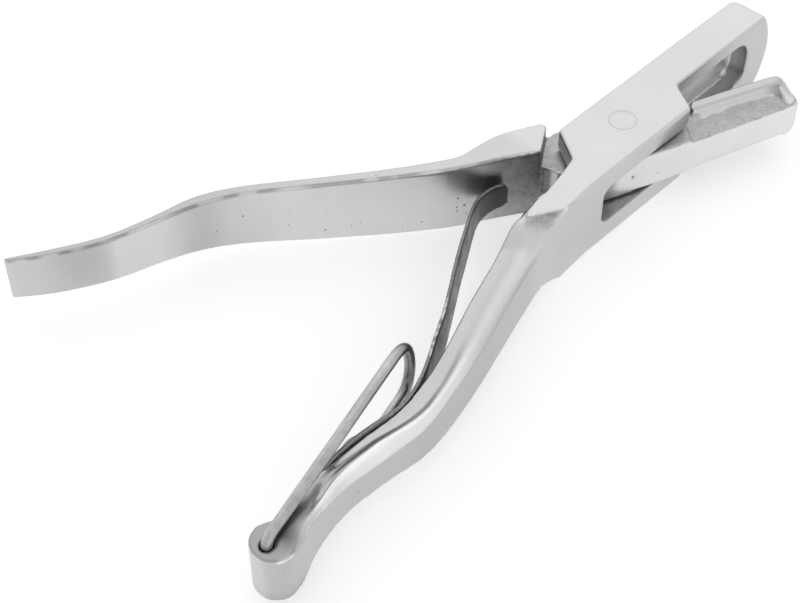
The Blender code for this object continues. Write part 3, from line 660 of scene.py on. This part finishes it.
def tall_handle_shade(points, normal):
    """How much darker the inner lever's handle reflects, as painted shade and light: bands of painted
    reflection along its inner side, painted shade on its top, and a broken line of painted shade on its
    upper edge."""
    x, z = points[:, 0], points[:, 2]
    handle = 1 - ramp(x, -0.022, -0.018)
    # Bands of painted reflection on the inner side: painted shade in dusk and bands, painted light in light
    inner_face = ramp(facing(normal, INNER_SIDE), 0.5, 0.9) * handle
    dusk = 0.12 + dip(x, -0.1400, 0.0085, 0.20) * (0.4 + 0.6 * ramp(z, 0.002, 0.018))
    bands = dusk * (1 - ramp(x, -0.1345, -0.1300)) + dip(x, -0.1075, 0.0075, 0.17)
    bands += 0.14 * ramp(x, -0.056, -0.042)
    light = 0.13 - 0.09 * between(x, -0.118, -0.105, -0.095, -0.085)
    shade = inner_face * (bands - light)
    top = ramp(normal[:, 2], 0.6, 0.9) * (1 - ramp(x, -0.030, -0.024))
    shade += top * (0.10 + 0.14 * (1 - ramp(x, -0.105, -0.060)))
    edge = between(normal[:, 2], 0.15, 0.45, 0.85, 0.97) * (1 - ramp(x, -0.036, -0.030))
    edge *= ramp(facing(normal, INNER_SIDE), 0.15, 0.35)
    return shade + 0.38 * edge * ramp(lumps(points, 0.0035, 14), -0.5, 0.3)


def joint_shade(points, normal, joint):
    """How much darker the mottled skin by the joint is: it is dark as-cast skin, partly as painted shade,
    darker upwards and at the tongue's wall as painted shade, with small stains and painted shade nearer the
    pivot, and a painted highlight along the tongue's edge."""
    x, z = points[:, 0], points[:, 2]
    mottle = 0.55 * lumps(points, 0.0011, 8) + 0.45 * lumps(points, 0.0030, 11)
    stains_and_shade = 0.14 * ramp(lumps(points, 0.0006, 13), -0.1, 0.6) + 0.08
    # Dark as-cast skin, partly painted shade, with painted shade growing upwards
    shade = joint * (0.42 + 0.14 * mottle) * (0.60 + 0.40 * ramp(z, 0.004, 0.013))
    shade += joint * stains_and_shade * ramp(x, -0.034, -0.026)
    tongue = ramp(-normal[:, 0], 0.75, 0.9) * (x > -0.0260) * (np.abs(z - MID) < SLOT_LEVEL)
    shade += 0.24 * joint * tongue
    shade += 0.45 * near(points, TONGUE_WALL, 0.0040) * (z < 0.012) * (normal[:, 0] > 0.2)
    return shade - 0.55 * streak(points, *TONGUE_EDGE, 0.0005)


def inner_lever_shape(points, normal):
    """The inner lever: its points, how far they melt, how raw they are, and how much darker."""
    x = points[:, 0]
    joint = between(x, -0.042, -0.033, -0.012, -0.008) * (np.abs(normal[:, 2]) < 0.6)
    joint *= ramp(-normal[:, 1], 0.1, 0.4)
    melted, raw, shade = padded_jaw_skin(points, normal)
    shade += tall_handle_shade(points, normal) + joint_shade(points, normal, joint)
    return points, np.clip(melted, 0, 0.95), np.clip(raw + 0.35 * joint, 0, 1), np.clip(shade, -0.5, 0.85)


def turned(name, profile, seat, axis, segments=64):
    """A turned piece: the profile (radius, height) goes once round the axis, from top to bottom."""
    profile = np.asarray(profile, float)
    angle = np.linspace(0, 2 * np.pi, segments, endpoint=False)
    radius, height = profile[:, :1], profile[:, 1:]
    ring = np.stack([radius * np.cos(angle), radius * np.sin(angle), height + 0 * angle], 2)
    frame_of = np.array(Vector(axis).to_track_quat("Z", "Y").to_matrix())
    return grid_mesh(name, ring @ frame_of.T + np.asarray(seat), round_v=True)


def pin_mesh():
    """The pin: its ends are peened flush into the box, so that only a hair line shows round them."""
    flush = 0.00003
    end = [
        (0, flush), (PIN - PIN_GROOVE, flush), (PIN, -2 * flush), (PIN + PIN_GROOVE, flush),
        (PIN + 0.0010, flush), (PIN + 0.0019, -2 * flush), (PIN - 0.0002, -0.0012),
    ]
    low = [(radius, -TOP - height) for radius, height in end[::-1]]
    mesh = turned("pivot_pin_finished", end + low, (0, 0, TOP), (0, 0, 1), 128)
    co = read(mesh.vertices, "co", 3)
    groove = np.abs(np.hypot(co[:, 0], co[:, 1]) - PIN) < PIN_GROOVE / 2
    for name, value in (("rim", 0.0), ("raw", 0.0), ("pit", 5.0)):
        mark(mesh, name, np.full(len(co), value))
    mark(mesh, "shade", 0.42 * groove)
    return mesh


def rivet_mesh():
    """The rivet: a shank and a domed head whose edge is slightly upset."""
    head, rise, foot = 0.0043, 0.0026, 0.0019
    shank, depth, upset = 0.0020, 0.0052, 0.00022
    turn = np.linspace(0, np.pi / 2, 14)
    dome = np.stack([head * np.sin(turn), foot + rise * np.cos(turn) ** 0.9], 1)
    body = [(head - 0.0002, foot - upset), (shank, foot - upset), (shank, -depth), (0, -depth)]
    mesh = turned("spring_rivet_finished", np.vstack([dome, body]), RIVET_SEAT, RIVET_OUT)
    mark(mesh, "rim", np.zeros(len(mesh.vertices)))
    return mesh


def spring_mesh():
    """The leaf spring: an edge-rounded oblong carried along the strip's run, with rounded ends and a slight
    wave. Its edges are lighter as a painted highlight, with worn specks at mid length, and the outer side of
    its root is lighter too."""
    run = through(SPRING_RUN, 8)
    along = unit(np.gradient(run[:, :2], axis=0))
    left = np.stack([-along[:, 1], along[:, 0]], 1)
    turn = np.linspace(0, 2 * np.pi, 48, endpoint=False)
    oblong = np.stack([np.sign(np.cos(turn)) * np.abs(np.cos(turn)) ** 0.5,
                       np.sign(np.sin(turn)) * np.abs(np.sin(turn)) ** 0.22], 1)
    reach = np.concatenate([[0], np.cumsum(np.linalg.norm(np.diff(run[:, :2], axis=0), axis=1))])
    to_end = np.minimum(reach, reach[-1] - reach)
    taper = np.sqrt(np.clip(1 - (1 - np.clip(to_end / SPRING_TIP, 0, 1)) ** 2, 0.04, 1))
    half = (run[:, 2] - SPRING_TIP * (1 - taper))[:, None]
    across = oblong[None, :, 0] * SPRING_THICK / 2
    place = run[:, None, :2] + left[:, None] * across[..., None]
    points = np.concatenate([place, (MID + half * oblong[None, :, 1])[..., None]], 2)
    wave = 0.00004 * lumps(points.reshape(-1, 3), 0.006, 7).reshape(points.shape[:2])
    points[..., :2] += left[:, None] * wave[..., None]
    mesh = grid_mesh("leaf_spring_finished", points, round_v=True, caps=(0, -1))
    co = read(mesh.vertices, "co", 3)
    normal = read(mesh.vertices, "normal", 3)
    # The strip's edges carry a painted highlight
    edge = ramp(np.abs(normal[:, 2]), 0.35, 0.75)
    specks = between(co[:, 0], -0.108, -0.100, -0.088, -0.078) * (lumps(co, 0.0007, 12) > 0.1)
    root = ramp(-normal[:, 1], 0.5, 0.9) * (1 - ramp(co[:, 0], -0.112, -0.104))
    mark(mesh, "rim", edge * (0.55 + 1.3 * specks) + 0.9 * root)
    return mesh


def bail_path():
    """The bail's centre line (reach, height): out of the hole, round a bend, along, round the end, back."""
    turn = np.linspace(np.pi, np.pi / 2, 12)
    rise = BAIL_BEND * np.stack([1 + np.cos(turn), np.sin(turn) - 1], 1) + (0, BAIL_LEVEL)
    rise = np.vstack([[(0.0, 0.0009), (0.0, 0.004)], rise])
    run = np.stack([np.linspace(0.004, 0.061, 56), np.full(56, BAIL_LEVEL)], 1)
    return np.vstack([rise, run, through(BAIL_END, 8), (run * (1, -1))[::-1], (rise * (1, -1))[::-1]])


def bail_mesh():
    """The bail: a round wire carried along a flat loop, its two ends turned into the handle's hole. A
    painted highlight runs along it beside a painted dark reflection, its end is darker as a painted
    reflection, and the side over the handle carries painted shade."""
    path = bail_path()
    along = unit(np.gradient(path, axis=0))
    side = np.stack([-along[:, 1], along[:, 0]], 1)
    turn = np.linspace(0, 2 * np.pi, 28, endpoint=False)
    flat = path[:, None] + side[:, None] * (WIRE * np.cos(turn))[None, :, None]
    out = np.broadcast_to(WIRE * np.sin(turn), flat.shape[:2])
    cos, sin = np.cos(BAIL_TURN), np.sin(BAIL_TURN)
    points = np.stack([BAIL_PIVOT[0] + flat[..., 0] * cos - out * sin,
                       BAIL_PIVOT[1] + flat[..., 0] * sin + out * cos, MID + flat[..., 1]], 2)
    mesh = grid_mesh("locking_bail_finished", points, round_v=True, caps=(0, -1))
    co = read(mesh.vertices, "co", 3)
    reach = (co[:, 0] - BAIL_PIVOT[0]) * cos + (co[:, 1] - BAIL_PIVOT[1]) * sin
    out = (co[:, 1] - BAIL_PIVOT[1]) * cos - (co[:, 0] - BAIL_PIVOT[0]) * sin
    # Painted highlight and painted dark reflection along the wire, painted reflection at its end and painted
    # shade under it over the handle
    stripe = 0.07 * ramp(out, 0.0003, 0.0010) - 0.07 * dip(out, -0.0002, 0.0003, 1.0) * (reach < 0.040)
    under = ramp(-read(mesh.vertices, "normal", 3)[:, 2], -0.1, 0.4) * (co[:, 2] > MID) * (reach < 0.034)
    end = ramp(reach, BAIL_REACH - 0.008, BAIL_REACH - 0.002)
    mark(mesh, "rim", stripe - 0.13 * end - 0.20 * under)
    return mesh


def build_tool():
    """Every piece with its finish."""
    # worn is the wire and spring skin, which carries their wear and their painted highlights and shade
    cast, worn = cast_skin(), worn_and_sheen_skin()
    steel = metal("tumbled cast steel", cast, {
        "Base": (0.575, 0.579, 0.583, 1), "Raw": "raw", "Rim": "rim", "Shade": "shade", "Pit": "pit"})
    wire = metal("bright wire", worn, {
        "Base": (0.44, 0.445, 0.45, 1), "Speck": 0.05, "Rim": "rim", "Low": 0.26, "High": 0.40})
    blade = metal("dark spring steel", worn, {
        "Base": (0.075, 0.075, 0.078, 1), "Speck": 0.5, "Rim": "rim", "Low": 0.32, "High": 0.5})
    cast_lever("box_lever_finished", "box_lever", "box", steel, 0.0, BOX_CELL, box_lever_shape, BOX_PITS)
    cast_lever("inner_lever_finished", "inner_lever", "inner", steel, JAW_TURN, INNER_CELL,
               inner_lever_shape, INNER_PITS)
    show("pivot_pin_finished", pin_mesh(), steel, "box", "pivot_pin", 80)
    show("spring_rivet_finished", rivet_mesh(), wire, "box", "spring_rivet", 40)
    show("locking_bail_finished", bail_mesh(), wire, "bail", "locking_bail", 50)
    spring = show("leaf_spring_finished", spring_mesh(), blade, None, "leaf_spring", 60)
    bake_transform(spring)


def seen(net):
    """1 for what the camera sees, straight or in metal and glass, and 0 for light falling on a surface."""
    ray = net.add("LightPath").outputs
    mirrored = net.math("MAXIMUM", ray["Is Glossy Ray"], ray["Is Transmission Ray"])
    return net.math("MAXIMUM", ray["Is Camera Ray"], mirrored)


def floor_and_light():
    """A white floor that keeps the shadow, an even pale sky and soft lamps."""
    mesh = bpy.data.meshes.new("floor")
    corners = [(-3, -3, 0), (3, -3, 0), (3, 3, 0), (-3, 3, 0)]
    mesh.from_pydata(corners, [], [(0, 1, 2, 3)])
    floor = bpy.data.objects.new("floor", mesh)
    bpy.context.scene.collection.objects.link(floor)
    floor.location.z = -0.0004
    material = bpy.data.materials.new("white floor")
    material.use_nodes = True
    net = Net(material.node_tree)
    shader = material.node_tree.nodes["Principled BSDF"]
    shader.inputs["Base Color"].default_value = (0.80, 0.80, 0.80, 1)
    shader.inputs["Roughness"].default_value = 0.9
    shader.inputs["Specular IOR Level"].default_value = 0.1
    shader.inputs["Emission Color"].default_value = (1, 1, 1, 1)
    net.tree.links.new(net.math("MULTIPLY", seen(net), FLOOR_GLOW), shader.inputs["Emission Strength"])
    mesh.materials.append(material)

    world = bpy.data.worlds.new("pale studio")
    bpy.context.scene.world = world
    world.use_nodes = True
    net = Net(world.node_tree)
    sky = world.node_tree.nodes["Background"]
    net.tree.links.new(net.math("MAXIMUM", seen(net), SKY_LEVEL), sky.inputs["Strength"])
    sky.inputs["Color"].default_value = (1, 1, 1, 1)

    for name, place, size, power in SOFT_BOXES:
        lamp = bpy.data.lights.new(name, "AREA")
        lamp.size = size
        lamp.energy = power
        stand = bpy.data.objects.new(name, lamp)
        stand.location = place
        stand.rotation_euler = (Vector(CAMERA_AIM) - Vector(place)).to_track_quat("-Z", "Y").to_euler()
        bpy.context.scene.collection.objects.link(stand)


def photograph_camera():
    """The camera where the photograph was taken from."""
    camera = bpy.data.cameras.new("camera")
    camera.lens = LENS
    camera.sensor_width = SENSOR
    camera.sensor_fit = "HORIZONTAL"
    stand = bpy.data.objects.new("camera", camera)
    stand.location = CAMERA_AT
    stand.rotation_euler = (Vector(CAMERA_AIM) - Vector(CAMERA_AT)).to_track_quat("-Z", "Y").to_euler()
    bpy.context.scene.collection.objects.link(stand)
    bpy.context.scene.camera = stand
    bpy.context.scene.view_settings.view_transform = "Standard"


build_tool()
floor_and_light()
photograph_camera()
